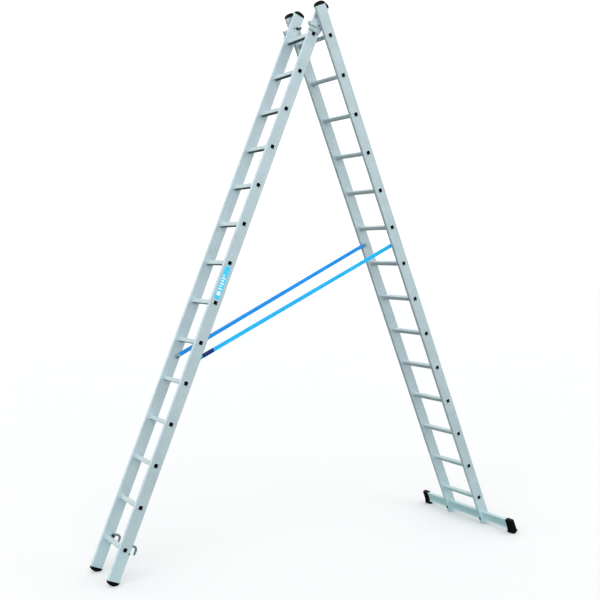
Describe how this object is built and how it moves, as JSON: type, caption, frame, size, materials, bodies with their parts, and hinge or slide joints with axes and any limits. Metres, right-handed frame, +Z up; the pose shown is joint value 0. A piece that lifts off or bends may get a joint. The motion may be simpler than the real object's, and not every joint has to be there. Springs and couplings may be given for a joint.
{
  "type": "extension ladder",
  "caption": "Two-section aluminium ladder set up as an A-frame, with a sliding hinged upper section, check straps, rung hooks and a stabilizer bar.",
  "frame": {"origin": "middle of the footprint at floor level", "axes": "+Z up, +X towards the base section's foot, +Y across the ladder towards the far rails"},
  "size_m": [3.1054, 1.07, 3.8182],
  "materials": {
    "rail_aluminium": "extruded mill-finish aluminium",
    "rung_aluminium": "extruded aluminium with a ribbed tread",
    "bar_aluminium": "extruded aluminium",
    "bracket_aluminium": "pressed aluminium",
    "zinc_steel": "zinc plated steel",
    "cap_plastic": "moulded black plastic",
    "boot_rubber": "moulded black rubber",
    "latch_plastic": "moulded dark blue plastic",
    "strap_webbing": "woven blue webbing",
    "label_film": "printed blue film"
  },
  "bodies": {
    "base_section": {"base_rail_near": "rail_aluminium", "base_rail_far": "rail_aluminium", "base_rung_01": "rung_aluminium", "base_rung_02": "rung_aluminium", "base_rung_03": "rung_aluminium", "base_rung_04": "rung_aluminium", "base_rung_05": "rung_aluminium", "base_rung_06": "rung_aluminium", "base_rung_07": "rung_aluminium", "base_rung_08": "rung_aluminium", "base_rung_09": "rung_aluminium", "base_rung_10": "rung_aluminium", "base_rung_11": "rung_aluminium", "base_rung_12": "rung_aluminium", "base_rung_13": "rung_aluminium", "base_rung_14": "rung_aluminium", "base_top_cap_near": "cap_plastic", "base_top_cap_far": "cap_plastic", "stabilizer_bar": "bar_aluminium", "stabilizer_boot_near": "boot_rubber", "stabilizer_boot_far": "boot_rubber", "stabilizer_bolt_near": "zinc_steel", "stabilizer_bolt_far": "zinc_steel", "guide_bracket_near": "bracket_aluminium", "guide_bracket_far": "bracket_aluminium", "base_strap_anchor_near": "zinc_steel", "base_strap_anchor_far": "zinc_steel", "strap_near": "strap_webbing", "strap_far": "strap_webbing"},
    "pivot_guide": {"guide_shoe_near": "bracket_aluminium", "guide_shoe_far": "bracket_aluminium"},
    "upper_section": {"fly_rail_near": "rail_aluminium", "fly_rail_far": "rail_aluminium", "fly_rung_01": "rung_aluminium", "fly_rung_02": "rung_aluminium", "fly_rung_03": "rung_aluminium", "fly_rung_04": "rung_aluminium", "fly_rung_05": "rung_aluminium", "fly_rung_06": "rung_aluminium", "fly_rung_07": "rung_aluminium", "fly_rung_08": "rung_aluminium", "fly_rung_09": "rung_aluminium", "fly_rung_10": "rung_aluminium", "fly_rung_11": "rung_aluminium", "fly_rung_12": "rung_aluminium", "fly_rung_13": "rung_aluminium", "fly_rung_14": "rung_aluminium", "fly_top_cap_near": "cap_plastic", "fly_top_cap_far": "cap_plastic", "fly_foot_near": "cap_plastic", "fly_foot_far": "cap_plastic", "rung_hook_near": "zinc_steel", "rung_hook_far": "zinc_steel", "fly_strap_anchor_near": "zinc_steel", "fly_strap_anchor_far": "zinc_steel", "label": "label_film"},
    "latch_near": {"latch_lever_near": "latch_plastic"},
    "latch_far": {"latch_lever_far": "latch_plastic"},
    "pawl_near": {"hook_pawl_near": "zinc_steel"},
    "pawl_far": {"hook_pawl_far": "zinc_steel"}
  },
  "joints": [
    {"name": "fold", "type": "hinge", "parent": "base_section", "child": "pivot_guide", "pos_m": [-0.04621, 0, 3.64771], "axis": [0, 1, 0], "range_deg": [-44.46, 0], "deforming": ["strap_near", "strap_far"]},
    {"name": "extend", "type": "slide", "parent": "pivot_guide", "child": "upper_section", "axis": [0.3783, 0, 0.9257], "range_m": [0, 2.24], "deforming": ["strap_near", "strap_far"]},
    {"name": "latch_near_turn", "type": "hinge", "parent": "upper_section", "child": "latch_near", "pos_m": [0.00417, -0.1532, 3.69696], "axis": [0, 1, 0], "range_deg": [0, 70], "stiffness_Nm_per_rad": 0.03, "springref_deg": -17.19},
    {"name": "latch_far_turn", "type": "hinge", "parent": "upper_section", "child": "latch_far", "pos_m": [0.00417, 0.1532, 3.69696], "axis": [0, 1, 0], "range_deg": [0, 70], "stiffness_Nm_per_rad": 0.03, "springref_deg": -17.19},
    {"name": "pawl_near_turn", "type": "hinge", "parent": "upper_section", "child": "pawl_near", "pos_m": [-1.40848, -0.1537, 0.19296], "axis": [0, 1, 0], "range_deg": [-60, 0], "stiffness_Nm_per_rad": 0.03, "springref_deg": 17.19},
    {"name": "pawl_far_turn", "type": "hinge", "parent": "upper_section", "child": "pawl_far", "pos_m": [-1.40848, 0.1537, 0.19296], "axis": [0, 1, 0], "range_deg": [-60, 0], "stiffness_Nm_per_rad": 0.03, "springref_deg": 17.19}
  ]
}
